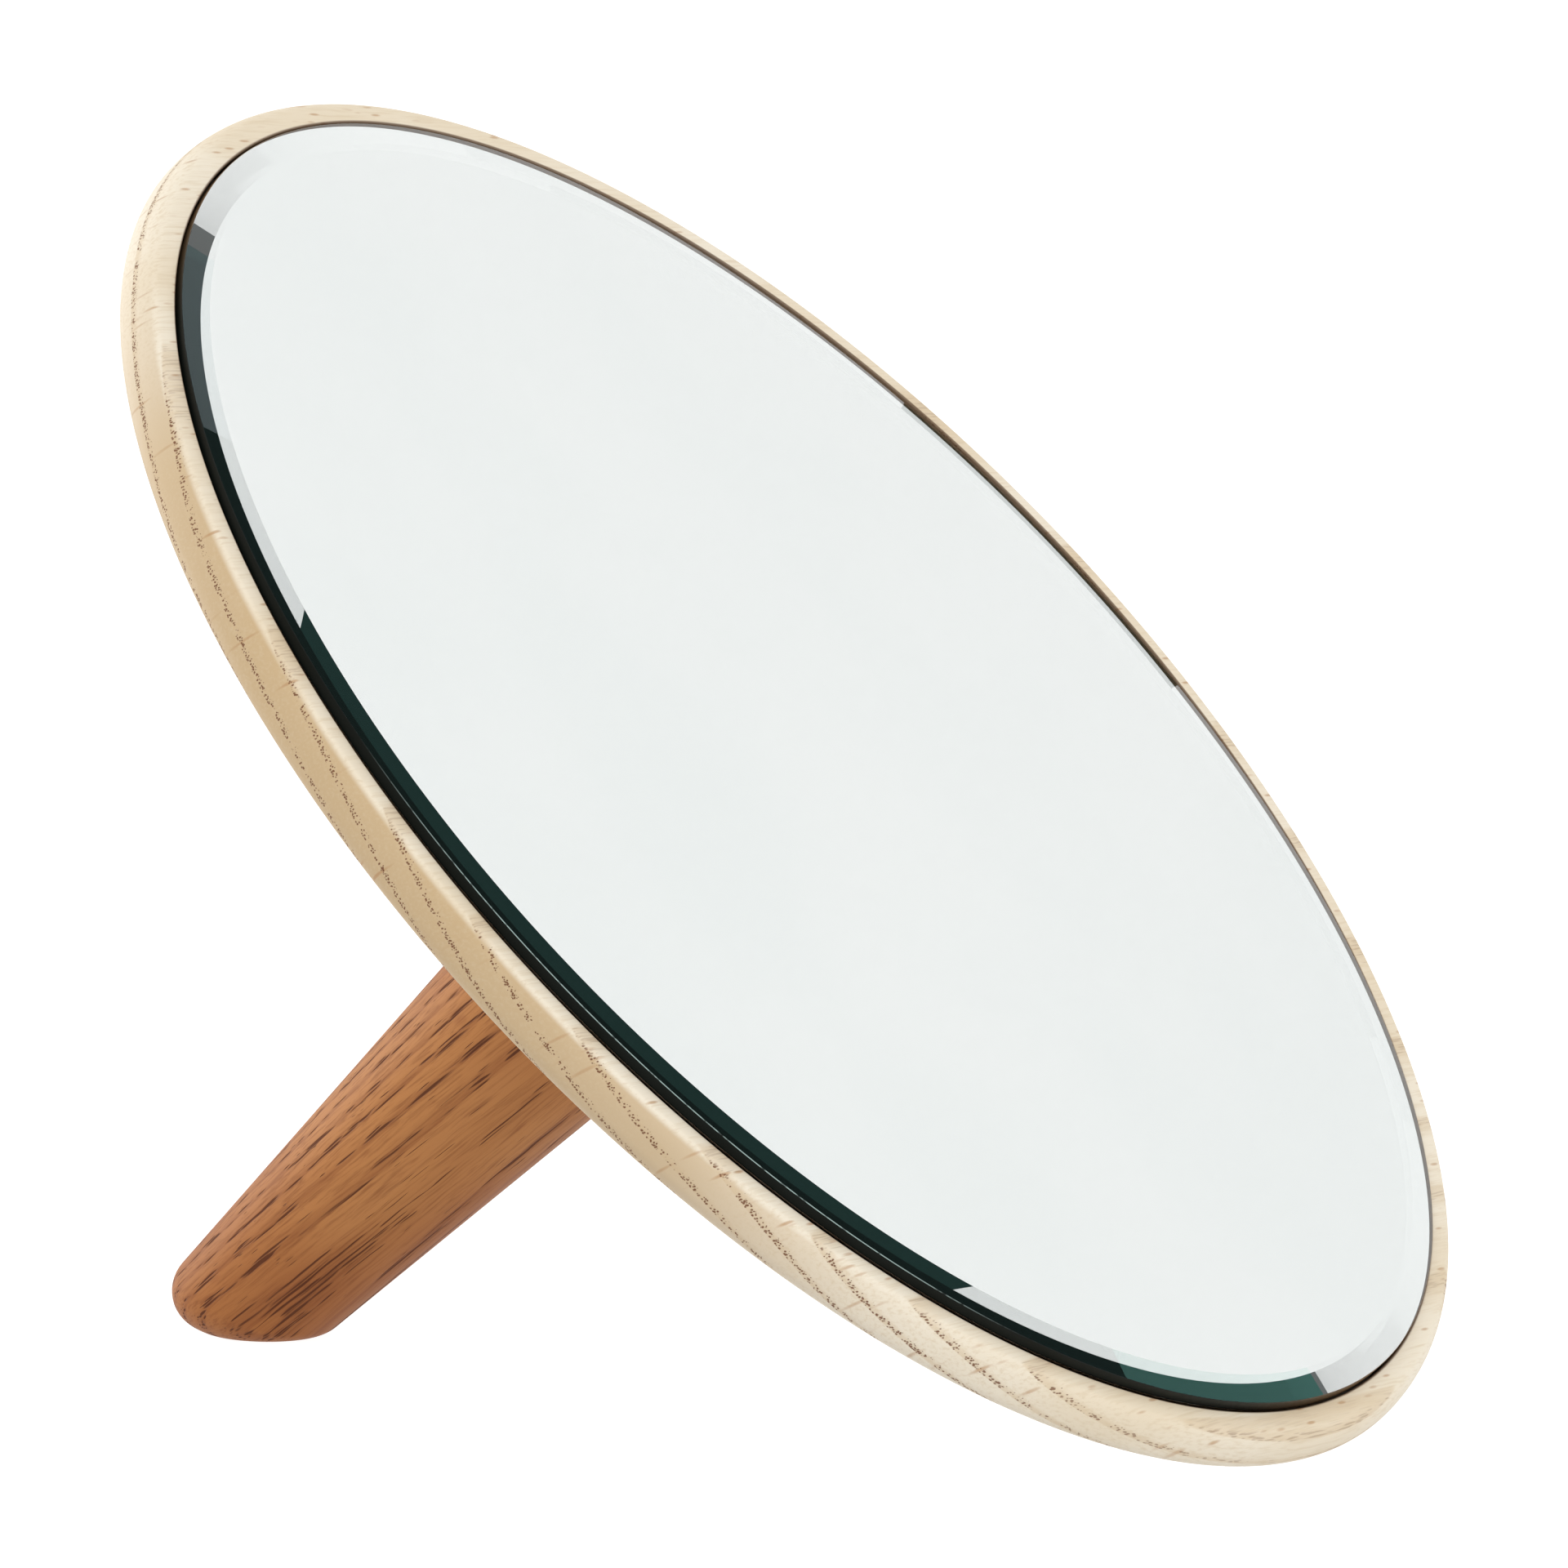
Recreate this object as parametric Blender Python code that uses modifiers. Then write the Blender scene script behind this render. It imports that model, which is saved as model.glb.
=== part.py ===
# Round table and hand mirror: a turned oak disc with a bevelled mirror let into its face,
# and a tapered oak peg square to its back that is both the handle and the rear leg.
# Metres, +Z up, the table at z = 0. The mirror faces -Y and up.

import math

import bmesh
import bpy
from mathutils import Vector

# ---------------------------------------------------------------- driving sizes
MM = 0.001

# Stance
TILT = math.radians(46.6)          # disc plane above the table

# Oak disc, depths measured back from the front lip
DISC_R = 110.0 * MM
DISC_T = 7.3 * MM
LIP_R = 105.2 * MM                 # wall of the recess that holds the glass
LIP_EDGE = 0.3 * MM                # broken edge at the mouth of the recess
RECESS_D = 4.2 * MM
FRONT_ROUND = (2.3 * MM, 4.2 * MM)     # radial, axial
BACK_ROUND = (4.7 * MM, 3.1 * MM)
DISC_SEGMENTS = 120
ROUND_STEPS = 7

# Mirror
GLASS_R = 104.7 * MM
GLASS_TOP = 0.9 * MM               # how far the glass stands proud of the lip
GLASS_T = 3.0 * MM
BEVEL_W = 4.6 * MM
BEVEL_DROP = 0.6 * MM
GLASS_SEAM = 0.25 * MM
COAT_R = 104.2 * MM
COAT_T = 0.4 * MM
STACK_GAP = 0.3 * MM

# Double-sided foam tape
TAPE_COUNT = 6
TAPE_SIZE = (46.0 * MM, 19.0 * MM, 0.8 * MM)
TAPE_RING_R = 68.0 * MM
TAPE_CORNER = 1.5 * MM

# Peg
PEG_ROOT_R = 17.4 * MM
PEG_TAPER = 0.0688                 # radius lost per length
PEG_SEGMENTS = 96
PEG_ROOT_EDGE = 0.4 * MM
FOOT_FLAT = (7.4 * MM, 7.35 * MM)      # half width and half depth of the flat under the foot
FOOT_FLAT_SHIFT = 6.35 * MM            # flat's centre, forward of where the peg's axis lands
FOOT_STEPS = 10

# Countersunk wood screw through the disc into the peg
SCREW_HEAD_R = 4.2 * MM
SCREW_SHANK_R = 2.0 * MM
SCREW_ROOT_R = 1.4 * MM
SCREW_LENGTH = 34.0 * MM
SCREW_PITCH = 1.8 * MM
SCREW_CLEAR = 0.3 * MM

# Two dowels that stop the peg turning
DOWEL_R = 2.5 * MM
DOWEL_LENGTH = 15.0 * MM
DOWEL_OFFSET = 10.5 * MM
DOWEL_EDGE = 0.5 * MM
DOWEL_CLEAR = 0.3 * MM

COLOURS = {
    "oak_pale": ((0.70, 0.54, 0.36), 0.55, 0.0),
    "oak_warm": ((0.52, 0.25, 0.10), 0.50, 0.0),
    "glass": ((0.80, 0.86, 0.84), 0.03, 0.0),
    "silver": ((0.88, 0.90, 0.89), 0.05, 1.0),
    "foam": ((0.82, 0.82, 0.80), 0.85, 0.0),
    "zinc": ((0.62, 0.60, 0.52), 0.35, 1.0),
    "beech": ((0.62, 0.44, 0.26), 0.60, 0.0),
}


# ---------------------------------------------------------------- scene helpers
def clear_scene():
    for obj in list(bpy.data.objects):
        bpy.data.objects.remove(obj, do_unlink=True)


def new_collection(name):
    coll = bpy.data.collections.new(name)
    bpy.context.scene.collection.children.link(coll)
    return coll


def new_material(name, key):
    colour, roughness, metallic = COLOURS[key]
    mat = bpy.data.materials.new(name)
    mat.use_nodes = True
    shader = mat.node_tree.nodes["Principled BSDF"]
    shader.inputs["Base Color"].default_value = (*colour, 1.0)
    shader.inputs["Roughness"].default_value = roughness
    shader.inputs["Metallic"].default_value = metallic
    return mat


def add_object(name, mesh, coll, parent, key=None):
    obj = bpy.data.objects.new(name, mesh)
    coll.objects.link(obj)
    obj.parent = parent
    if key:
        mesh.materials.append(new_material(name, key))
    return obj


def add_cutter(name, mesh, coll, parent):
    obj = add_object(name, mesh, coll, parent)
    obj.hide_render = True
    obj.display_type = "WIRE"
    return obj


def cut(obj, cutter):
    mod = obj.modifiers.new("cut " + cutter.name, "BOOLEAN")
    mod.operation = "DIFFERENCE"
    mod.solver = "EXACT"
    mod.object = cutter


def profile_mesh(name, profile):
    mesh = bpy.data.meshes.new(name)
    verts = [(r, 0.0, z) for r, z in profile]
    edges = [(i, i + 1) for i in range(len(verts) - 1)]
    mesh.from_pydata(verts, edges, [])
    return mesh


def turn(obj, segments):
    mod = obj.modifiers.new("turn", "SCREW")
    mod.axis = "Z"
    mod.angle = math.tau
    mod.steps = segments
    mod.render_steps = segments
    mod.use_merge_vertices = True
    mod.merge_threshold = 0.00001
    mod.use_smooth_shade = False


def arc(centre, radii, start, end, steps):
    """Points on a quarter ellipse, angles in degrees from +r towards +z."""
    points = []
    for i in range(steps + 1):
        a = math.radians(start + (end - start) * i / steps)
        points.append((centre[0] + radii[0] * math.cos(a), centre[1] + radii[1] * math.sin(a)))
    return points


# ---------------------------------------------------------------- shared shapes
def disc_profile():
    rf, hf = FRONT_ROUND
    rb, hb = BACK_ROUND
    points = [(0.0, -RECESS_D), (LIP_R, -RECESS_D), (LIP_R, -LIP_EDGE), (LIP_R + LIP_EDGE, 0.0)]
    points += arc((DISC_R - rf, -hf), (rf, hf), 90, 0, ROUND_STEPS)
    points += arc((DISC_R - rb, -DISC_T + hb), (rb, hb), 0, -90, ROUND_STEPS)[1:]
    points.append((0.0, -DISC_T))
    return points


def stand_height():
    """Height of the centre of the lip plane when the disc's lower back edge is on the table."""
    shrink = math.cos(math.pi / DISC_SEGMENTS)
    return max(r * shrink * math.sin(TILT) - z * math.cos(TILT) for r, z in disc_profile())


def foot_flat_radius(angle):
    """Distance from the peg's axis to the edge of the foot's flat, square to the axis."""
    wide = math.cos(angle) / FOOT_FLAT[0]
    deep = math.sin(angle) / math.cos(TILT) / FOOT_FLAT[1]
    shift = FOOT_FLAT_SHIFT / FOOT_FLAT[1]
    # (wide r)^2 + (deep r + shift)^2 = 1
    a = wide * wide + deep * deep
    b = deep * shift
    return (-b + math.sqrt(b * b + a * (1.0 - shift * shift))) / a


def foot_fillet(root, angle):
    """Fillet between the peg's side and the table at one angle, as (r, z) points, side first."""
    slope = math.tan(TILT) * math.sin(angle)
    z_axis = -stand_height() / math.cos(TILT)
    # side: r = root r + taper * (z - root z); foot: z = z_axis - slope * r
    r_corner = (root[0] + PEG_TAPER * (z_axis - root[1])) / (1.0 + PEG_TAPER * slope)
    corner = Vector((r_corner, z_axis - slope * r_corner))
    r_flat = foot_flat_radius(angle)
    reach = (Vector((r_flat, z_axis - slope * r_flat)) - corner).length
    side = Vector((PEG_TAPER, 1.0)).normalized()
    foot = Vector((-1.0, slope)).normalized()
    half = math.acos(side.dot(foot)) / 2.0
    centre = corner + (side + foot).normalized() * reach / math.cos(half)
    first = corner + side * reach - centre
    last = corner + foot * reach - centre
    sweep = math.pi - 2.0 * half
    points = []
    for i in range(FOOT_STEPS + 1):
        t = i / FOOT_STEPS
        blend = (first * math.sin((1.0 - t) * sweep) + last * math.sin(t * sweep)) / math.sin(sweep)
        points.append(centre + blend)
    return points


# ---------------------------------------------------------------- pieces
def make_disc(coll, parent, cutters):
    mesh = profile_mesh("oak_disc", disc_profile())
    obj = add_object("oak_disc", mesh, coll, parent, "oak_pale")
    # a facet, not a corner, at the bottom of the rim
    obj.rotation_euler.z = math.pi / DISC_SEGMENTS
    turn(obj, DISC_SEGMENTS)
    for cutter in cutters:
        cut(obj, cutter)
    return obj


def make_glass(coll, parent):
    bottom = GLASS_TOP - GLASS_T
    arris = GLASS_TOP - BEVEL_DROP
    profile = [
        (0.0, GLASS_TOP),
        (GLASS_R - BEVEL_W, GLASS_TOP),
        (GLASS_R - GLASS_SEAM, arris),
        (GLASS_R, arris - GLASS_SEAM),
        (GLASS_R, bottom + GLASS_SEAM),
        (GLASS_R - GLASS_SEAM, bottom),
        (0.0, bottom),
    ]
    obj = add_object("mirror_glass", profile_mesh("mirror_glass", profile), coll, parent, "glass")
    obj.rotation_euler.z = math.pi / DISC_SEGMENTS
    turn(obj, DISC_SEGMENTS)
    return obj


def make_coat(coll, parent):
    top = GLASS_TOP - GLASS_T - STACK_GAP
    profile = [(0.0, top), (COAT_R, top), (COAT_R, top - COAT_T), (0.0, top - COAT_T)]
    obj = add_object("silver_coat", profile_mesh("silver_coat", profile), coll, parent, "silver")
    obj.rotation_euler.z = math.pi / DISC_SEGMENTS
    turn(obj, DISC_SEGMENTS)
    return obj


def make_tapes(coll, parent):
    length, width, thick = TAPE_SIZE
    top = GLASS_TOP - GLASS_T - STACK_GAP - COAT_T - STACK_GAP
    tapes = []
    for i in range(TAPE_COUNT):
        name = f"tape_{i + 1}"
        bm = bmesh.new()
        bmesh.ops.create_cube(bm, size=1.0)
        bmesh.ops.scale(bm, vec=(width, length, thick), verts=bm.verts)
        upright = [e for e in bm.edges if abs(e.verts[0].co.z - e.verts[1].co.z) > thick / 2]
        bmesh.ops.bevel(bm, geom=upright, offset=TAPE_CORNER, segments=4, profile=0.5,
                        affect="EDGES")
        mesh = bpy.data.meshes.new(name)
        bm.to_mesh(mesh)
        bm.free()
        obj = add_object(name, mesh, coll, parent, "foam")
        angle = math.tau * (i + 0.5) / TAPE_COUNT
        obj.location = (TAPE_RING_R * math.cos(angle), TAPE_RING_R * math.sin(angle), top - thick / 2)
        obj.rotation_euler.z = angle
        tapes.append(obj)
    return tapes


def make_peg(coll, parent, cutters):
    root_z = -DISC_T - STACK_GAP
    root = (PEG_ROOT_R, root_z)
    rings = [[] for _ in range(FOOT_STEPS + 3)]
    for k in range(PEG_SEGMENTS):
        angle = math.tau * k / PEG_SEGMENTS
        line = [Vector((PEG_ROOT_R - PEG_ROOT_EDGE, root_z)), Vector((PEG_ROOT_R, root_z - PEG_ROOT_EDGE))]
        line += foot_fillet(root, angle)
        for ring, point in zip(rings, line):
            ring.append((point.x * math.cos(angle), point.x * math.sin(angle), point.y))
    bm = bmesh.new()
    loops = [[bm.verts.new(co) for co in ring] for ring in rings]
    for upper, lower in zip(loops, loops[1:]):
        for k in range(PEG_SEGMENTS):
            j = (k + 1) % PEG_SEGMENTS
            bm.faces.new((upper[k], lower[k], lower[j], upper[j]))
    bm.faces.new(loops[0])
    bm.faces.new(reversed(loops[-1]))
    bmesh.ops.recalc_face_normals(bm, faces=bm.faces)
    mesh = bpy.data.meshes.new("handle_peg")
    bm.to_mesh(mesh)
    bm.free()
    obj = add_object("handle_peg", mesh, coll, parent, "oak_warm")
    for cutter in cutters:
        cut(obj, cutter)
    return obj


def screw_profile():
    top = -RECESS_D - SCREW_CLEAR
    neck = top - (SCREW_HEAD_R - SCREW_SHANK_R)
    tip = top - SCREW_LENGTH
    points = [(0.0, top), (SCREW_HEAD_R, top), (SCREW_HEAD_R, top - 0.3 * MM)]
    points.append((SCREW_SHANK_R, neck - 0.3 * MM))
    z = -DISC_T - 2.0 * MM
    while z - SCREW_PITCH > tip + 3.0 * MM:
        points.append((SCREW_SHANK_R, z))
        points.append((SCREW_ROOT_R, z - 0.35 * SCREW_PITCH))
        points.append((SCREW_ROOT_R, z - 0.65 * SCREW_PITCH))
        z -= SCREW_PITCH
    points.append((SCREW_SHANK_R, z))
    points.append((0.0, tip))
    return points


def make_screw(coll, parent, blades):
    obj = add_object("handle_screw", profile_mesh("handle_screw", screw_profile()), coll, parent, "zinc")
    turn(obj, 32)
    for blade in blades:
        cut(obj, blade)
    return obj


def make_drive_cutters(coll, parent):
    """Cross recess of the screw head: two crossed tapering blades."""
    cutters = []
    for turned in (0.0, math.pi / 2.0):
        bm = bmesh.new()
        bmesh.ops.create_cube(bm, size=1.0)
        bmesh.ops.scale(bm, vec=(4.4 * MM, 0.8 * MM, 1.6 * MM), verts=bm.verts)
        for v in bm.verts:
            if v.co.z < 0.0:
                v.co.x *= 0.45
        mesh = bpy.data.meshes.new("screw drive")
        bm.to_mesh(mesh)
        bm.free()
        cutter = add_cutter("screw drive", mesh, coll, parent)
        cutter.location.z = -RECESS_D - 0.7 * MM
        cutter.rotation_euler.z = turned
        cutters.append(cutter)
    return cutters


def make_screw_cutter(coll, parent):
    top = -RECESS_D + 1.0 * MM
    head = SCREW_HEAD_R + SCREW_CLEAR
    shank = SCREW_SHANK_R + SCREW_CLEAR
    seat = -RECESS_D - SCREW_CLEAR - 0.3 * MM
    tip = -RECESS_D - SCREW_CLEAR - SCREW_LENGTH - SCREW_CLEAR
    profile = [(0.0, top), (head, top), (head, seat), (shank, seat - (head - shank)), (shank, tip), (0.0, tip)]
    obj = add_cutter("screw hole", profile_mesh("screw hole", profile), coll, parent)
    turn(obj, 32)
    return obj


def make_dowels(coll, parent):
    top = -RECESS_D - 0.4 * MM
    bottom = top - DOWEL_LENGTH
    profile = [
        (0.0, top),
        (DOWEL_R - DOWEL_EDGE, top),
        (DOWEL_R, top - DOWEL_EDGE),
        (DOWEL_R, bottom + DOWEL_EDGE),
        (DOWEL_R - DOWEL_EDGE, bottom),
        (0.0, bottom),
    ]
    dowels = []
    for i, side in enumerate((-1.0, 1.0)):
        name = f"dowel_{i + 1}"
        obj = add_object(name, profile_mesh(name, profile), coll, parent, "beech")
        obj.location.x = side * DOWEL_OFFSET
        turn(obj, 32)
        dowels.append(obj)
    return dowels


def make_dowel_cutters(coll, parent):
    top = -RECESS_D + 1.0 * MM
    bottom = -RECESS_D - 0.4 * MM - DOWEL_LENGTH - 0.6 * MM
    radius = DOWEL_R + DOWEL_CLEAR
    profile = [(0.0, top), (radius, top), (radius, bottom), (0.0, bottom)]
    cutters = []
    for side in (-1.0, 1.0):
        obj = add_cutter("dowel hole", profile_mesh("dowel hole", profile), coll, parent)
        obj.location.x = side * DOWEL_OFFSET
        turn(obj, 32)
        cutters.append(obj)
    return cutters


def make_stand(coll):
    """Empty at the centre of the lip plane, tilted and at its height above the table."""
    stand = bpy.data.objects.new("stand", None)
    coll.objects.link(stand)
    stand.location.z = stand_height()
    stand.rotation_euler.x = TILT
    return stand


def centre_footprint(stand, pieces):
    """Slide the whole object so that the middle of its depth is on y = 0."""
    bpy.context.view_layer.update()
    graph = bpy.context.evaluated_depsgraph_get()
    depths = []
    for obj in pieces:
        shown = obj.evaluated_get(graph)
        mesh = shown.to_mesh()
        depths += [(shown.matrix_world @ v.co).y for v in mesh.vertices]
        shown.to_mesh_clear()
    stand.location.y -= (min(depths) + max(depths)) / 2.0


def build():
    clear_scene()
    parts = new_collection("hand_mirror")
    cutters = new_collection("cutters")
    stand = make_stand(parts)
    screw_hole = make_screw_cutter(cutters, stand)
    dowel_holes = make_dowel_cutters(cutters, stand)
    blades = make_drive_cutters(cutters, stand)
    pieces = [make_disc(parts, stand, [screw_hole, *dowel_holes])]
    pieces.append(make_glass(parts, stand))
    pieces.append(make_coat(parts, stand))
    pieces += make_tapes(parts, stand)
    pieces.append(make_peg(parts, stand, [screw_hole, *dowel_holes]))
    pieces.append(make_screw(parts, stand, blades))
    pieces += make_dowels(parts, stand)
    centre_footprint(stand, pieces)
    bpy.context.view_layer.update()


build()
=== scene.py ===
import math

import bmesh
import bpy
from mathutils import Matrix, Vector


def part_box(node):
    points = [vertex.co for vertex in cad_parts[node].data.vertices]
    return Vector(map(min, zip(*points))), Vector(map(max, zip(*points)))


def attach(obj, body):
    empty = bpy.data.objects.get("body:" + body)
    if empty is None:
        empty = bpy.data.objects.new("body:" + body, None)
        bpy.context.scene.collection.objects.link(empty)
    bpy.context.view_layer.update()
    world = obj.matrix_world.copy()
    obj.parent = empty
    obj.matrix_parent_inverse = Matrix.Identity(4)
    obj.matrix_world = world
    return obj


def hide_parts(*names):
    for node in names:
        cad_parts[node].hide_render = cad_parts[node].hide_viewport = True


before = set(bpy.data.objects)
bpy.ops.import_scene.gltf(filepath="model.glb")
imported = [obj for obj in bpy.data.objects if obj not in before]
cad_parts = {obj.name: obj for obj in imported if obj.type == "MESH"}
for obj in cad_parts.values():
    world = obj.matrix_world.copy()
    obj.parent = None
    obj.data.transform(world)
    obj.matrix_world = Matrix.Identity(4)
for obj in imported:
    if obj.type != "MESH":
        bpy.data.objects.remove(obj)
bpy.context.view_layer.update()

mm = 0.001
scene = bpy.context.scene

# where the mirror stands: pieces are made lying flat, then placed by standMatrix
stand = {
    "tilt": math.radians(46.6),   # face of the disc above the table
    "coatDepth": 2.6 * mm,        # middle of the silver behind the lip of the disc
}
outward = Vector((0.0, -math.sin(stand["tilt"]), math.cos(stand["tilt"])))
coatLow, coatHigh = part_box("silver_coat")
lipCentre = (coatLow + coatHigh) / 2.0 + outward * stand["coatDepth"]
standMatrix = Matrix.Translation(lipCentre) @ Matrix.Rotation(stand["tilt"], 4, "X")
print("lip centre", [round(v / mm, 2) for v in lipCentre])


# part of an ellipse from one angle to another, in degrees
def quarterRound(centre, radii, start, end, steps):
    points = []
    for i in range(steps + 1):
        turn = math.radians(start + (end - start) * i / steps)
        across = centre[0] + radii[0] * math.cos(turn)
        points.append((across, centre[1] + radii[1] * math.sin(turn)))
    return points


def finishPiece(bm, name, sharpAngle, matrix=standMatrix):
    bmesh.ops.remove_doubles(bm, verts=bm.verts, dist=0.001 * mm)
    bmesh.ops.recalc_face_normals(bm, faces=bm.faces)
    bmesh.ops.transform(bm, matrix=matrix, verts=bm.verts)
    for face in bm.faces:
        face.smooth = True
    mesh = bpy.data.meshes.new(name)
    bm.to_mesh(mesh)
    bm.free()
    mesh.set_sharp_from_angle(angle=math.radians(sharpAngle))
    piece = bpy.data.objects.new(name, mesh)
    scene.collection.objects.link(piece)
    return piece


# a profile of (radius, height) points turned round the z axis
def turnedPiece(name, profile, steps, sharpAngle, matrix=standMatrix):
    bm = bmesh.new()
    verts = [bm.verts.new((r, 0.0, z)) for r, z in profile]
    edges = [bm.edges.new(pair) for pair in zip(verts, verts[1:])]
    bmesh.ops.spin(
        bm, geom=verts + edges, cent=(0, 0, 0), axis=(0, 0, 1),
        angle=math.tau, steps=steps, use_merge=True,
    )
    return finishPiece(bm, name, sharpAngle, matrix)


def rgb(red, green, blue):
    linear = []
    for value in (red, green, blue):
        value /= 255.0
        linear.append(value / 12.92 if value <= 0.04045 else ((value + 0.055) / 1.055) ** 2.4)
    return (*linear, 1.0)


# one socket of a shader tree: sums on it add Math nodes
class Wire:
    def __init__(self, bench, socket):
        self.bench = bench
        self.socket = socket

    def calc(self, operation, *others):
        return self.bench.add("Math", {"operation": operation}, dict(enumerate((self, *others))))

    def after(self, operation, first):
        return self.bench.add("Math", {"operation": operation}, {0: first, 1: self})

    def __add__(self, other):
        return self.calc("ADD", other)

    def __sub__(self, other):
        return self.calc("SUBTRACT", other)

    def __mul__(self, other):
        return self.calc("MULTIPLY", other)

    def __truediv__(self, other):
        return self.calc("DIVIDE", other)

    def __rsub__(self, other):
        return self.after("SUBTRACT", other)

    def __rtruediv__(self, other):
        return self.after("DIVIDE", other)

    __radd__ = __add__
    __rmul__ = __mul__


# the node tree of a new material or world, and the one method that puts nodes in it
class Bench:
    def __init__(self, owner):
        owner.use_nodes = True
        self.owner = owner
        self.tree = owner.node_tree
        self.tree.nodes.clear()

    def add(self, kind, settings=None, sockets=None, out=0):
        node = self.tree.nodes.new("ShaderNode" + kind)
        for key, value in (settings or {}).items():
            setattr(node, key, value)
        for key, value in (sockets or {}).items():
            if isinstance(value, Wire):
                self.tree.links.new(value.socket, node.inputs[key])
            else:
                node.inputs[key].default_value = value
        return Wire(self, node.outputs[out]) if node.outputs else None

    def here(self):    # place on the piece in its own coordinates
        return self.add("TexCoord", out=3)

    def vector(self, operation, first, second, out=0):
        return self.add("VectorMath", {"operation": operation}, {0: first, 1: second}, out)

    def length(self, vector, factors):    # how long it is once each side is scaled
        return self.add("VectorMath", {"operation": "LENGTH"}, {0: self.scaled(vector, factors)}, 1)

    def scaled(self, vector, factors):
        return self.vector("MULTIPLY", vector, factors)

    def split(self, vector):
        node = self.add("SeparateXYZ", None, {0: vector}).socket.node
        return [Wire(self, socket) for socket in node.outputs]

    def noise(self, vector, scale=1.0, detail=2.0, roughness=0.5):
        sockets = {"Vector": vector, "Scale": scale, "Detail": detail, "Roughness": roughness}
        return self.add("TexNoise", None, sockets)

    def toCell(self, vector):    # distance to the nearest of the scattered cell centres
        sockets = {"Vector": vector, "Scale": 1.0, "Randomness": 1.0}
        return self.add("TexVoronoi", {"feature": "F1"}, sockets)

    def ease(self, value, low, high):
        settings = {"interpolation_type": "SMOOTHSTEP"}
        return self.add("MapRange", settings, {0: value, 1: low, 2: high})

    def blend(self, factor, first, second):
        return self.add("Mix", {"data_type": "RGBA"}, {0: factor, 6: first, 7: second}, out=2)

    def surface(self, sockets):
        shader = self.add("BsdfPrincipled", None, sockets)
        self.add("OutputMaterial", None, {"Surface": shader})
        return self.owner


def newMaterial(name):
    return Bench(bpy.data.materials.new(name))


# what both oaks share: pattern scales per millimetre with the grain along z, and where a
# pattern starts and ends as a pair
grain = {
    "bend": (0.022, 0.022, 0.012),     # slow drift of the rings
    "cloud": (0.035, 0.035, 0.018),    # broad patches of the light and mid colours
    "cloudEdges": (0.35, 0.65),
    "fibre": (2.6, 2.6, 0.09),
    "fibreEdges": (0.42, 0.75),
    "sway": (0.12, 0.12, 0.03),        # waves of the vessels and fibres
    "earlyRise": 0.05,                 # start of the early wood, as a share of a ring
    "earlyFall": 0.12,
    "earlyVessels": 1.15,
    "bore": (0.9, 0.9, 0.12),          # where the vessels narrow or stop
    "boreEdges": (0.26, 0.48),
    "vesselEdges": (0.55, 1.1),
    "smallest": 0.001,                 # keeps the division by a vessel's size safe
    "rayDepth": 14.0,
    "rayHeight": 6.0,
    "rayEdges": (0.08, 0.26),
    "rayPatch": 0.35,                  # rays come in patches of a few plates
    "rayPatchEdges": (0.38, 0.60),
    "fibreRelief": 0.12,
    "rayRelief": 0.1,
    "bumpDepth": 0.12 * mm,
    "fibreSheen": 0.12,
    "vesselSheen": 0.2,
}


# object position in millimetres, in a frame whose z runs along the grain
def grainSpace(bench, along, across):
    zAxis = along.normalized()
    yAxis = (across - across.dot(zAxis) * zAxis).normalized()
    xAxis = yAxis.cross(zAxis)
    turn = Matrix((xAxis, yAxis, zAxis)).transposed().to_euler()
    values = {"Vector": bench.here(), "Location": lipCentre, "Rotation": turn, "Scale": (mm, mm, mm)}
    return bench.add("Mapping", {"vector_type": "TEXTURE"}, values)


# early wood of each ring, from 0 to 1
def ringPattern(bench, wood, space, fromPith):
    bend = bench.noise(bench.scaled(space, grain["bend"]), detail=1.0) - 0.5
    phase = (fromPith / wood["ring"] + bend * wood["ringWander"]).calc("FRACT")
    fall = 1.0 - bench.ease(phase, grain["earlyFall"], wood["earlyShare"])
    return fall * bench.ease(phase, 0.0, grain["earlyRise"])


# vessels: long thin tubes, most of them in the early wood
def vesselPattern(bench, wood, space, swayed, early):
    thin = 1.0 / wood["vesselCell"]
    toTube = bench.toCell(bench.scaled(swayed, (thin, thin, 1.0 / wood["vesselLength"])))
    bore = bench.ease(bench.noise(bench.scaled(space, grain["bore"]), detail=1.0), *grain["boreEdges"])
    size = wood["vesselSize"] * (early * grain["earlyVessels"] + wood["lateVessels"]) * bore
    return 1.0 - bench.ease(toTube / (size + grain["smallest"]), *grain["vesselEdges"])


# rays: thin plates that run out from the pith
def rayPattern(bench, wood, aroundPith, fromPith):
    x, y, z = bench.split(aroundPith)
    plates = bench.add("CombineXYZ", None, {
        0: x.calc("ARCTAN2", y) * wood["pithReach"] / wood["rayGap"],
        1: fromPith / grain["rayDepth"],
        2: z / grain["rayHeight"],
    })
    patches = bench.ease(bench.noise(plates, grain["rayPatch"], 1.0), *grain["rayPatchEdges"])
    return (1.0 - bench.ease(bench.toCell(plates), *grain["rayEdges"])) * patches


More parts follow.
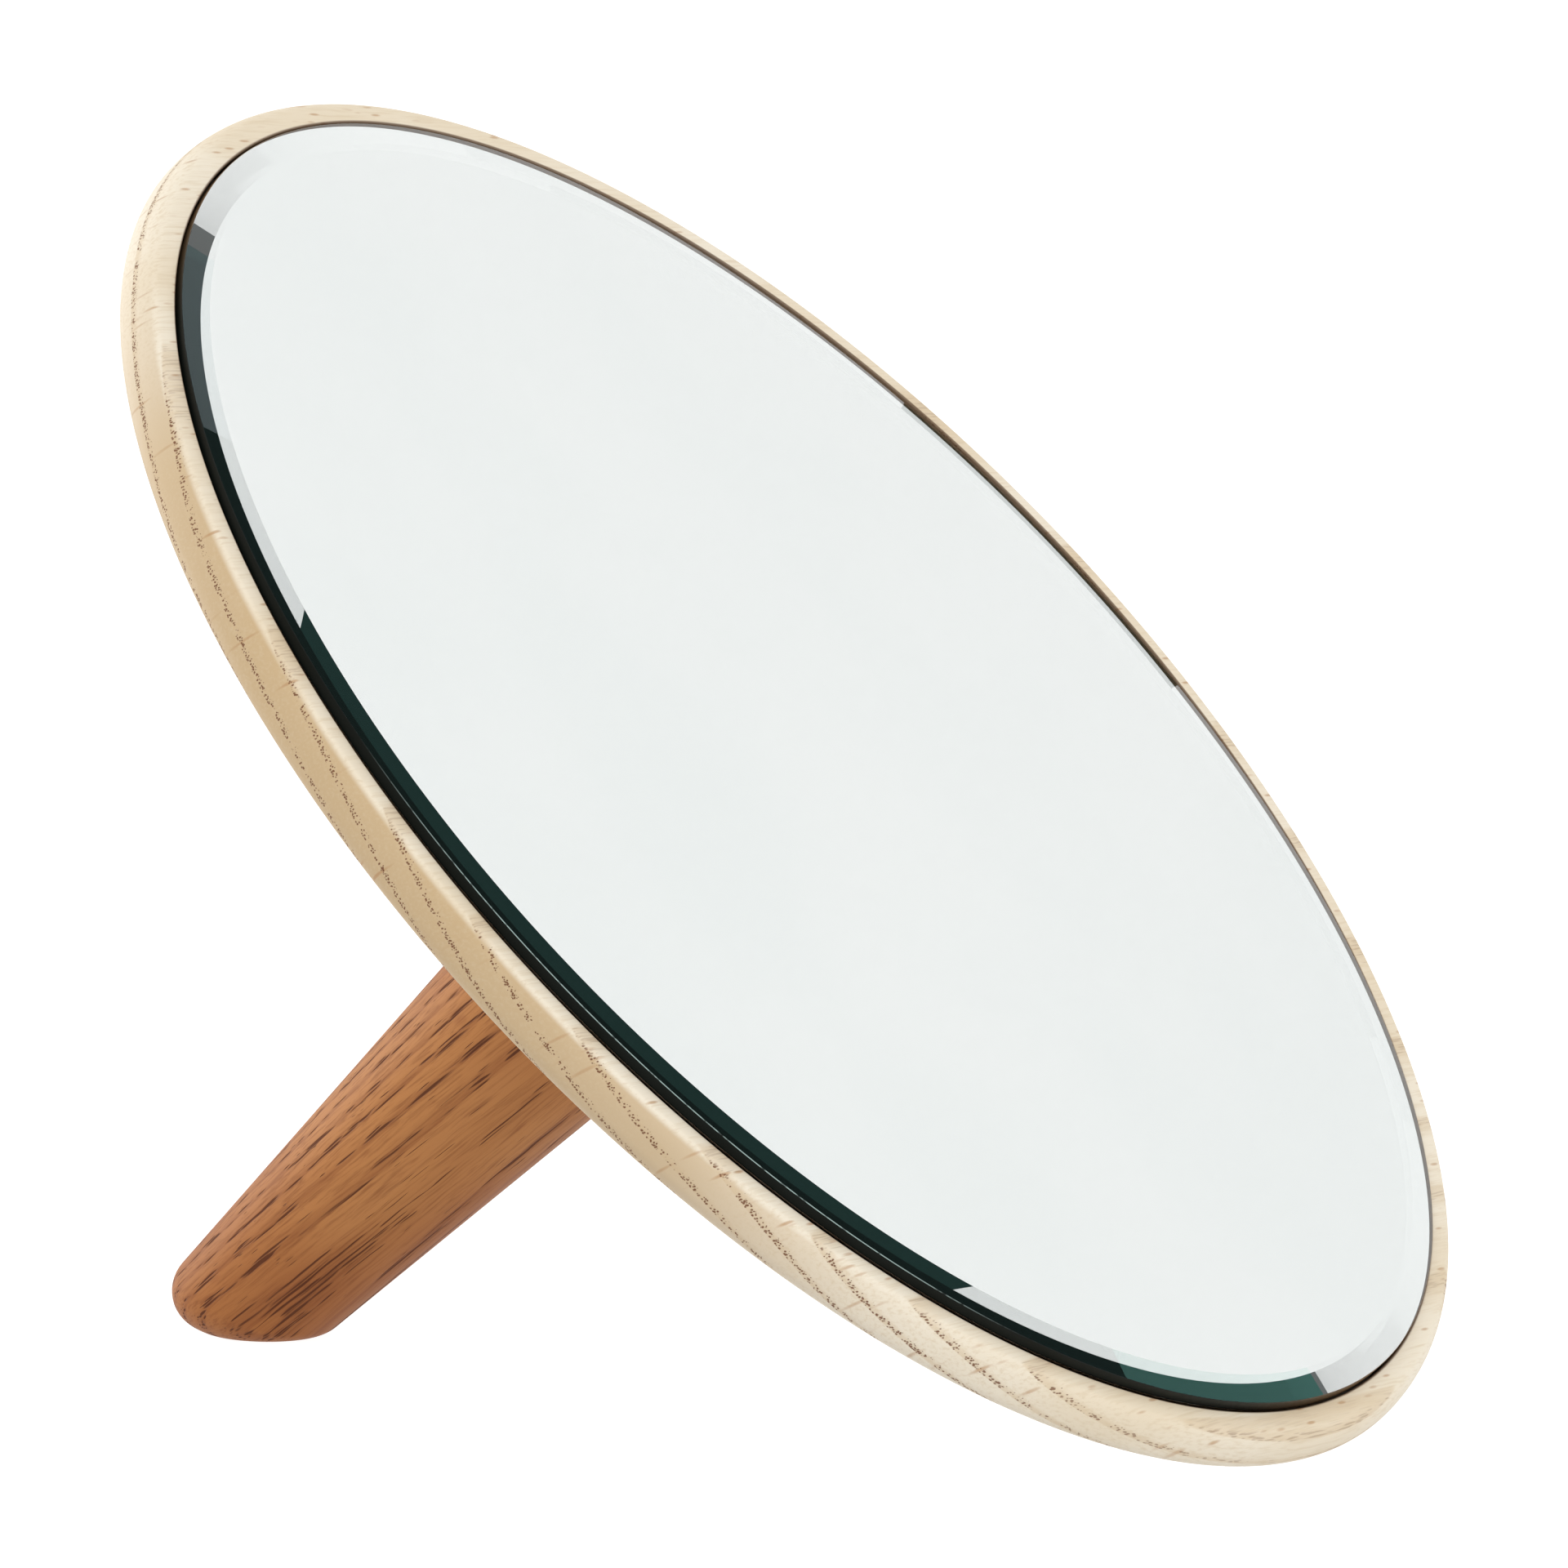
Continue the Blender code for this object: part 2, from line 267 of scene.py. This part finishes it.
def oak(name, wood):
    bench = newMaterial(name)
    space = grainSpace(bench, wood["along"], wood["across"])
    aroundPith = bench.vector("SUBTRACT", space, (*wood["pith"], 0.0))
    fromPith = bench.length(aroundPith, (1.0, 1.0, 0.0))
    waves = {"Vector": bench.scaled(space, grain["sway"]), "Detail": 1.0}
    waves = bench.add("TexNoise", None, waves, out=1)
    reach = (wood["sway"], wood["sway"], 0.0)
    swayed = bench.add("VectorMath", {"operation": "MULTIPLY_ADD"}, {0: waves, 1: reach, 2: space})

    early = ringPattern(bench, wood, space, fromPith)
    vessels = vesselPattern(bench, wood, space, swayed, early)
    rays = rayPattern(bench, wood, aroundPith, fromPith)
    fibre = bench.noise(bench.scaled(swayed, grain["fibre"]), detail=3.0, roughness=0.6)
    cloud = bench.ease(bench.noise(bench.scaled(space, grain["cloud"])), *grain["cloudEdges"])

    # the disc alone: vessels are faint on its face and sides, the rim is browner where the
    # grain runs out of it, which is also painted shade on the rim's side below the lit lip face,
    # and the wall of the recess round the glass is dark brown painted shade
    rim = wood.get("rim")
    if rim:
        height, along = bench.split(space)[1:]
        along = along.calc("ABSOLUTE")
        shown = 1.0 - (1.0 - bench.ease(along, *rim["sideReach"])) * rim["sideFade"]
        vessels = vessels * (shown * (1.0 - bench.ease(height, *rim["faceSkin"]) * rim["faceFade"]))
        # end grain browning, partly real and partly painted shade: only the rim's side below the lit
        # lip face is darkened
        endGrainAndShade = bench.ease(along, *rim["endReach"]) * bench.ease(height, *rim["endSkin"])
        # painted shade: the wall of the recess round the glass is darkened to dark brown
        fromAxis = bench.length(space, (1.0, 0.0, 1.0))
        inside = 1.0 - bench.ease(fromAxis, *rim["recessShadeReach"])
        recessShade = inside * bench.ease(height, *rim["recessShadeFloor"])

    layers = [("early", early), ("fibre", bench.ease(fibre, *grain["fibreEdges"]))]
    layers += [("ray", rays), ("vessel", vessels)]
    if rim:
        layers = [("end", endGrainAndShade), *layers, ("recessShade", recessShade)]
    colour = bench.blend(cloud, wood["light"], wood["mid"])
    for shade, share in layers:
        colour = bench.blend(share * wood[shade + "Tint"], colour, wood[shade])

    relief = fibre * grain["fibreRelief"] - vessels + rays * grain["rayRelief"]
    bump = {"Strength": wood["bump"], "Distance": grain["bumpDepth"], "Height": relief}
    return bench.surface({
        "Base Color": colour,
        "Roughness": wood["sheen"] + fibre * grain["fibreSheen"] + vessels * grain["vesselSheen"],
        "Normal": bench.add("Bump", None, bump),
        "Specular IOR Level": wood["gloss"],
    })


# the oak disc, as (radius, height over the lip) round its axis
disc = {
    "radius": 109.93 * mm,
    "thick": 7.27 * mm,
    "lip": 105.2 * mm,
    "lipEdge": 0.3 * mm,
    "recess": 4.2 * mm,
    "frontRound": (2.3 * mm, 4.2 * mm),
    "backRound": (4.7 * mm, 3.1 * mm),
    "steps": 384,
    "sharpAngle": 20,
    "wood": {
        "along": standMatrix.to_3x3() @ Vector((-0.994, 0.113, 0.0)),
        "across": outward,
        "pith": (-98.0, -700.0),
        "pithReach": 700.0,
        "ring": 3.1,
        "ringWander": 1.1,
        "earlyShare": 0.36,
        "sway": 0.5,
        "vesselCell": 0.28,
        "vesselLength": 8.0,
        "vesselSize": 0.46,
        "lateVessels": 0.03,
        "rayGap": 1.1,
        "rim": {                              # distances in millimetres
            "sideFade": 0.65,
            "sideReach": (8.0, 70.0),         # along the grain from the middle
            "faceFade": 0.75,
            "faceSkin": (-0.4, -0.1),         # height over the lip
            # where the end grain browning and painted shade on the rim's side start and end
            "endReach": (68.0, 106.0),
            "endSkin": (-0.1, -0.7),
            # reach of the painted shade on the recess wall
            "recessShadeReach": (105.3, 105.6),      # from the axis of the disc
            "recessShadeFloor": (-5.0, -4.4),
        },
        "light": rgb(231, 221, 202),
        "mid": rgb(222, 207, 181),
        "early": rgb(200, 174, 136),
        "earlyTint": 0.4,
        "fibre": rgb(204, 183, 149),
        "fibreTint": 0.45,
        "ray": rgb(176, 132, 88),
        "rayTint": 0.65,
        "vessel": rgb(108, 62, 34),
        "vesselTint": 0.9,
        # end grain colour, also used as painted shade on the rim's side
        "end": rgb(190, 160, 116),
        "endTint": 0.85,
        # painted shade colour of the recess wall
        "recessShade": rgb(92, 62, 36),
        "recessShadeTint": 0.85,
        "bump": 0.5,
        "sheen": 0.48,
        "gloss": 0.3,
    },
}


def makeDisc():
    frontWide, frontDeep = disc["frontRound"]
    backWide, backDeep = disc["backRound"]
    rim = disc["radius"]
    lip = disc["lip"]
    edge = disc["lipEdge"]
    profile = [(0.0, -disc["recess"]), (lip, -disc["recess"])]
    profile += quarterRound((lip + edge, -edge), (edge, edge), 180, 90, 4)
    profile += quarterRound((rim - frontWide, -frontDeep), disc["frontRound"], 90, 0, 24)
    backCentre = (rim - backWide, backDeep - disc["thick"])
    profile += quarterRound(backCentre, disc["backRound"], 0, -90, 20)[1:]
    profile.append((0.0, -disc["thick"]))
    piece = turnedPiece("turnedDisc", profile, disc["steps"], disc["sharpAngle"])
    piece.data.materials.append(oak("paleOak", disc["wood"]))
    return piece


# the mirror: bevelled glass over its silver
glass = {
    "radius": 104.9 * mm,
    "proud": 1.09 * mm,                        # flat of the glass above the lip, at its middle
    "thick": 1.9 * mm,
    "bevelWidth": 4.0 * mm,
    "bevelDrop": 0.475 * mm,
    "seam": 0.09 * mm,                         # small round between the bevel and the edge
    "seamSteps": 6,
    "seamStart": 83,                           # degrees, square to the bevel
    "silverGap": 0.003 * mm,
    "silverThick": 0.2 * mm,
    "steps": 384,
    "sharpAngle": 5,
    "silverSharp": 30,
    "seatTilt": math.radians(0.49),            # the glass sits a little out of parallel
    "highSide": Vector((-0.870, -0.492, 0.0)),
    "near": Vector((-0.980, -0.199, 0.0)),
    # direction of the painted highlight on the seam
    "glintSide": Vector((-0.937, -0.350, 0.0)),
    "tint": (0.975, 0.99, 0.985, 1.0),
    "ior": 1.52,
    "silver": (0.92, 0.925, 0.92, 1.0),
    "silverCloud": (0.89, 0.905, 0.90, 1.0),
    # painted shade: the near side of the glass edge is painted almost black
    "nearEdgeShade": (0.003, 0.005, 0.004, 1.0),
    # painted shade: the far side of the glass edge is painted brown, like the shaded recess wall
    "farEdgeShade": (0.17, 0.10, 0.045, 1.0),
    "edgeReach": (0.05, 0.5),                  # from the far side towards the near one
    "edgeGloss": 0.12,
    # painted highlight colour of the seam
    "seamGlint": (0.30, 0.40, 0.38, 1.0),
    "glintReach": (0.86, 0.97),
    # where the noise breaks up the painted highlight on the seam
    "glintBreakReach": (0.25, 0.5),
}


def glassMaterial():
    bench = newMaterial("bevelledGlass")
    smear = bench.noise(bench.here(), scale=30.0, detail=3.0)
    return bench.surface({
        "Base Color": glass["tint"],
        "Roughness": bench.ease(smear, 0.45, 0.8) * 0.004,
        "IOR": glass["ior"],
        "Transmission Weight": 1.0,
    })


# ground edge of the glass: painted black shade on the near side, painted brown shade on the far side,
# and a painted glint on its seam
def edgeMaterial(name, glintShare):
    bench = newMaterial(name)
    here = bench.here()
    fromCentre = bench.vector("SUBTRACT", here, lipCentre)
    turn = standMatrix.to_3x3()

    def towards(side):
        return bench.vector("DOT_PRODUCT", fromCentre, turn @ side / glass["radius"], out=1)

    # painted shade: black towards the near side, brown towards the far side
    nearShare = bench.ease(towards(glass["near"]), *glass["edgeReach"])
    colour = bench.blend(nearShare, glass["farEdgeShade"], glass["nearEdgeShade"])
    # noise for the roughness of the edge, which also breaks up the painted highlight
    chipsAndGlintBreaks = bench.noise(here, scale=900.0, detail=3.0)
    # painted highlight: the seam is pale only towards one side
    glint = bench.ease(towards(glass["glintSide"]), *glass["glintReach"])
    glint = glint * bench.ease(chipsAndGlintBreaks, *glass["glintBreakReach"]) * glintShare
    return bench.surface({
        "Base Color": bench.blend(glint, colour, glass["seamGlint"]),
        "Roughness": 0.3 + chipsAndGlintBreaks * 0.25,
        "Specular IOR Level": glass["edgeGloss"],
    })


def silverMaterial():
    bench = newMaterial("mirrorSilver")
    cloud = bench.noise(bench.here(), scale=18.0)
    return bench.surface({
        "Base Color": bench.blend(bench.ease(cloud, 0.3, 0.7), glass["silver"], glass["silverCloud"]),
        "Roughness": bench.ease(cloud, 0.4, 0.8) * 0.003,
        "Metallic": 1.0,
    })


def makeGlass():
    top = glass["proud"]
    bottom = top - glass["thick"]
    arris = top - glass["bevelDrop"]
    edge = glass["radius"]
    seam = glass["seam"]
    upright = Vector((0.0, 0.0, 1.0))
    seat = standMatrix @ Matrix.Rotation(glass["seatTilt"], 4, glass["highSide"].cross(upright))
    profile = [(0.0, top), (edge - glass["bevelWidth"], top)]
    seamCentre = (edge - seam, arris - seam)
    profile += quarterRound(seamCentre, (seam, seam), glass["seamStart"], 0, glass["seamSteps"])
    profile += [(edge, bottom + seam), (edge - seam, bottom), (0.0, bottom)]
    piece = turnedPiece("bevelledMirror", profile, glass["steps"], glass["sharpAngle"], seat)
    piece.data.materials.append(glassMaterial())
    piece.data.materials.append(edgeMaterial("groundEdgeShade", 0.0))
    piece.data.materials.append(edgeMaterial("groundSeamGlint", 1.0))

    # faces of the ground edge take its material, and those of the round above it the seam's
    axis = (seat.to_3x3() @ upright).normalized()
    for face in piece.data.polygons:
        arm = face.center - seat.translation
        height = arm.dot(axis)
        if (arm - axis * height).length > edge - seam * 1.02 and height < arris:
            face.material_index = 1 if height < arris - seam * 0.95 else 2

    high = bottom - glass["silverGap"]
    low = high - glass["silverThick"]
    profile = [(0.0, high), (edge - seam, high), (edge - seam, low), (0.0, low)]
    silver = turnedPiece("silverLayer", profile, glass["steps"], glass["silverSharp"], seat)
    silver.data.materials.append(silverMaterial())
    return piece, silver


# the peg: handle and rear leg
peg = {
    "rootRadius": 17.4 * mm,
    "rootDepth": 7.6 * mm,
    "rootEdge": 0.4 * mm,
    "taper": 0.0688,
    "flat": (5.6 * mm, 6.9 * mm),     # half width and half depth of the flat it stands on
    "flatShift": 6.2 * mm,
    "steps": 192,                     # round the peg, then down its root edge, side and foot
    "rootSteps": 5,
    "sideSteps": 6,
    "footSteps": 20,
    "sharpAngle": 30,
    "wood": {
        "along": standMatrix.to_3x3() @ Vector((0.03, 0.09, -1.0)),
        "across": Vector((1.0, 0.35, 0.0)),
        "pith": (-30.0, -48.0),
        "pithReach": 50.0,
        "ring": 2.6,
        "ringWander": 2.0,
        "earlyShare": 0.55,
        "sway": 0.5,
        "vesselCell": 0.4,
        "vesselLength": 42.0,
        "vesselSize": 0.38,
        "lateVessels": 0.3,
        "rayGap": 1.2,
        "light": rgb(182, 122, 68),
        "mid": rgb(158, 95, 46),
        "early": rgb(132, 72, 32),
        "earlyTint": 0.4,
        "fibre": rgb(116, 60, 25),
        "fibreTint": 0.55,
        "ray": rgb(144, 84, 42),
        "rayTint": 0.4,
        "vessel": rgb(80, 38, 17),
        "vesselTint": 0.88,
        "bump": 0.7,
        "sheen": 0.5,
        "gloss": 0.2,
    },
}


# distance from the peg's axis to the edge of its flat
def flatRadius(turn):
    wide = math.cos(turn) / peg["flat"][0]
    deep = math.sin(turn) / math.cos(stand["tilt"]) / peg["flat"][1]
    shift = peg["flatShift"] / peg["flat"][1]
    a = wide * wide + deep * deep
    b = deep * shift
    return (-b + math.sqrt(b * b + a * (1.0 - shift * shift))) / a


# root edge, side and foot rounding of the peg at one turn round its axis, as (radius, height)
def pegLine(turn):
    rootZ = -peg["rootDepth"]
    axisZ = -lipCentre.z / math.cos(stand["tilt"])    # where the axis meets the table
    slope = math.tan(stand["tilt"]) * math.sin(turn)
    taper = peg["taper"]
    cornerR = (peg["rootRadius"] + taper * (axisZ - rootZ)) / (1.0 + taper * slope)
    corner = Vector((cornerR, axisZ - slope * cornerR))
    flatR = flatRadius(turn)
    reach = (Vector((flatR, axisZ - slope * flatR)) - corner).length
    side = Vector((taper, 1.0)).normalized()
    foot = Vector((-1.0, slope)).normalized()
    half = math.acos(side.dot(foot)) / 2.0
    centre = corner + (side + foot).normalized() * reach / math.cos(half)
    first = corner + side * reach - centre
    last = corner + foot * reach - centre
    sweep = math.pi - 2.0 * half
    edge = peg["rootEdge"]
    rootCentre = (peg["rootRadius"] - edge, rootZ - edge)
    rootLine = quarterRound(rootCentre, (edge, edge), 90, 0, peg["rootSteps"])
    line = [Vector(point) for point in rootLine]
    start = line[-1]
    line += [start.lerp(centre + first, i / peg["sideSteps"]) for i in range(1, peg["sideSteps"])]
    for i in range(peg["footSteps"] + 1):
        t = i / peg["footSteps"]
        arm = first * math.sin((1.0 - t) * sweep) + last * math.sin(t * sweep)
        line.append(centre + arm / math.sin(sweep))
    return line


def makePeg():
    count = peg["steps"]
    lines = [pegLine(math.tau * k / count) for k in range(count)]
    bm = bmesh.new()
    bmesh.ops.create_circle(bm, segments=count, radius=peg["rootRadius"])
    ring = list(bm.verts)
    bmesh.ops.contextual_create(bm, geom=list(bm.edges))
    edges = list(bm.edges)
    for level in range(len(lines[0])):
        if level:
            grown = bmesh.ops.extrude_edge_only(bm, edges=edges)["geom"]
            ring = [item for item in grown if isinstance(item, bmesh.types.BMVert)]
            edges = [item for item in grown if isinstance(item, bmesh.types.BMEdge)]
            edges = [item for item in edges if all(v in ring for v in item.verts)]
        for vert in ring:
            k = round(math.atan2(vert.co.y, vert.co.x) / math.tau * count) % count
            point = lines[k][level]
            turn = math.tau * k / count
            vert.co = (point.x * math.cos(turn), point.x * math.sin(turn), point.y)
    bmesh.ops.contextual_create(bm, geom=edges)
    piece = finishPiece(bm, "taperedPeg", peg["sharpAngle"])
    piece.data.materials.append(oak("warmOak", peg["wood"]))
    return piece


# fixings inside, which keep their CAD shapes
fixings = {
    "foamTape": {
        "nodes": [f"tape_{number}" for number in range(1, 7)],
        "light": rgb(236, 236, 232),
        "dark": rgb(222, 222, 218),
        "grainScale": 900.0,
        "roughness": 0.75,
        "metallic": 0.0,
        "bump": 0.5,
    },
    "zincSteel": {
        "nodes": ["handle_screw"],
        "light": rgb(206, 200, 178),
        "dark": rgb(180, 176, 160),
        "grainScale": 500.0,
        "roughness": 0.25,
        "metallic": 1.0,
        "bump": 0.2,
    },
    "beechDowel": {
        "nodes": ["dowel_1", "dowel_2"],
        "light": rgb(222, 190, 150),
        "dark": rgb(204, 166, 122),
        "grainScale": 700.0,
        "roughness": 0.55,
        "metallic": 0.0,
        "bump": 0.2,
    },
}


def dressFixing(name, finish):
    bench = newMaterial(name)
    speckle = bench.noise(bench.here(), scale=finish["grainScale"], detail=4.0)
    bump = {"Strength": finish["bump"], "Distance": 0.05 * mm, "Height": speckle}
    material = bench.surface({
        "Base Color": bench.blend(bench.ease(speckle, 0.35, 0.65), finish["light"], finish["dark"]),
        "Roughness": finish["roughness"] + speckle * 0.15,
        "Metallic": finish["metallic"],
        "Normal": bench.add("Bump", None, bump),
    })
    for node in finish["nodes"]:
        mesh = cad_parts[node].data
        mesh.materials.clear()
        mesh.materials.append(material)


print("turning the disc")
discPiece = makeDisc()
print("bevelling the glass")
glassPiece, silverPiece = makeGlass()
print("shaping the peg")
pegPiece = makePeg()

for piece, node, slot in (
    (discPiece, "oak_disc", "oak_pale"),
    (glassPiece, "mirror_glass", "glass"),
    (silverPiece, "silver_coat", "silver"),
    (pegPiece, "handle_peg", "oak_warm"),
):
    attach(piece, "root")
    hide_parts(node)

print("dressing the fixings")
for name, finish in fixings.items():
    dressFixing(name, finish)


# floor, light and camera
studio = {
    "floorSize": 14.0,
    "floorDrop": 0.02 * mm,
    "floorColour": (0.3, 0.3, 0.3, 1.0),
    "floorGlow": 0.95,
    "white": (1.0, 1.0, 1.0, 1.0),
    "sky": 1.0,
    "underside": 0.75,
    "skyFade": (-0.4, 0.2),      # height of the direction where the underside turns to sky
    "lampReach": 1.2,
}
lamps = {                        # place is (back, right, up) from the lip, seen by the camera
    "keyLight": {"place": (0.5, -0.8, 0.9), "size": (1.6, 0.5), "power": 3.5},
    "fillLight": {"place": (0.9, 1.0, -0.1), "size": (1.2, 1.2), "power": 8.0},
    "backLight": {"place": (-0.5, -1.0, 0.25), "size": (1.0, 1.0), "power": 7.0},
}
flags = {                        # away beyond the far edge, then sideways and outward spans
    "darkFlag": {
        "away": 0.30, "sides": (-0.16, 0.16), "heights": (0.235, 0.42),
        "colour": (0.08, 0.14, 0.13, 1.0),
    },
    "lowFlag": {
        "away": 1.00, "sides": (-0.062, 0.062), "heights": (-0.05, 0.235),
        "colour": (0.010, 0.028, 0.025, 1.0),
    },
    "leftFlag": {
        "away": 0.31, "sides": (-0.30, -0.130), "heights": (0.173, 0.29),
        "colour": (0.60, 0.76, 0.78, 1.0),
    },
    "rightFlag": {
        "away": 0.31, "sides": (0.130, 0.30), "heights": (0.166, 0.29),
        "colour": (0.35, 0.85, 0.75, 1.0),
    },
}
view = {
    "azimuth": math.radians(-64.69),
    "elevation": math.radians(8.6),
    "lens": 197.7,
    "sensor": 36.0,
    "clipStart": 0.05,
    "away": 1090.595 * mm,
    "slide": 5.1997 * mm,
    "drop": 4.8257 * mm,
}


def viewAxes():
    a = view["azimuth"]
    e = view["elevation"]
    right = Vector((math.cos(a), math.sin(a), 0.0))
    up = Vector((-math.sin(a) * math.sin(e), math.cos(a) * math.sin(e), math.cos(e)))
    back = Vector((math.sin(a) * math.cos(e), -math.cos(a) * math.cos(e), math.sin(e)))
    return right, up, back


# a bmesh made an object of the set, which is not part of the mirror
def stageObject(bm, name):
    mesh = bpy.data.meshes.new(name)
    bm.to_mesh(mesh)
    bm.free()
    item = bpy.data.objects.new(name, mesh)
    scene.collection.objects.link(item)
    return item


def makeFloor():
    bm = bmesh.new()
    bmesh.ops.create_grid(bm, x_segments=1, y_segments=1, size=studio["floorSize"] / 2.0)
    floor = stageObject(bm, "studioFloor")
    floor.location.z = -studio["floorDrop"]
    floor.data.materials.append(newMaterial("paleFloor").surface({
        "Base Color": studio["floorColour"],
        "Roughness": 0.9,
        "Specular IOR Level": 0.0,
        "Emission Color": studio["white"],
        "Emission Strength": studio["floorGlow"],
    }))
    floor.visible_diffuse = False


# card beyond the far edge of the mirror that only the glass and the sheen of the wood can see
def addFlag(name, card):
    toFar = -(standMatrix.to_3x3() @ glass["near"]).normalized()
    toSide = toFar.cross(outward)
    foot = lipCentre + toFar * card["away"]
    left, right = (foot + toSide * span for span in card["sides"])
    low, high = (outward * span for span in card["heights"])
    bm = bmesh.new()
    corners = [bm.verts.new(place) for place in (left + low, right + low, right + high, left + high)]
    bmesh.ops.contextual_create(bm, geom=corners)
    flag = stageObject(bm, name)
    flag.visible_camera = False
    flag.visible_diffuse = False
    flag.visible_shadow = False
    flag.data.materials.append(newMaterial(name).surface({
        "Base Color": card["colour"],
        "Roughness": 0.9,
        "Specular IOR Level": 0.0,
    }))


def addSoftbox(name, lamp):
    right, up, back = viewAxes()
    toBack, toRight, toUp = lamp["place"]
    place = lipCentre + (back * toBack + right * toRight + up * toUp) * studio["lampReach"]
    light = bpy.data.lights.new(name, "AREA")
    light.shape = "RECTANGLE"
    light.size, light.size_y = lamp["size"]
    light.energy = lamp["power"]
    softbox = bpy.data.objects.new(name, light)
    softbox.location = place
    softbox.rotation_euler = (place - lipCentre).to_track_quat("Z", "Y").to_euler()
    scene.collection.objects.link(softbox)


# even white all round, a little dimmer from below
def makeSky():
    scene.world = bpy.data.worlds.new("whiteRoom")
    bench = Bench(scene.world)
    height = bench.split(bench.add("TexCoord"))[2]
    low, high = studio["skyFade"]
    glow = bench.add("MapRange", None, {
        "Value": height,
        "From Min": low,
        "From Max": high,
        "To Min": studio["underside"],
        "To Max": studio["sky"],
    })
    background = bench.add("Background", None, {"Color": studio["white"], "Strength": glow})
    bench.add("OutputWorld", None, {"Surface": background})


def makeCamera():
    right, up, back = viewAxes()
    camera = bpy.data.cameras.new("camera")
    camera.lens = view["lens"]
    camera.sensor_width = view["sensor"]
    camera.clip_start = view["clipStart"]
    eye = bpy.data.objects.new("camera", camera)
    place = lipCentre - right * view["slide"] - up * view["drop"] + back * view["away"]
    eye.matrix_world = Matrix.Translation(place) @ Matrix((right, up, back)).transposed().to_4x4()
    scene.collection.objects.link(eye)
    bpy.context.scene.camera = eye
    scene.view_settings.view_transform = "Standard"


print("lighting the studio")
makeFloor()
makeSky()
for name, lamp in lamps.items():
    addSoftbox(name, lamp)
for name, card in flags.items():
    addFlag(name, card)
makeCamera()
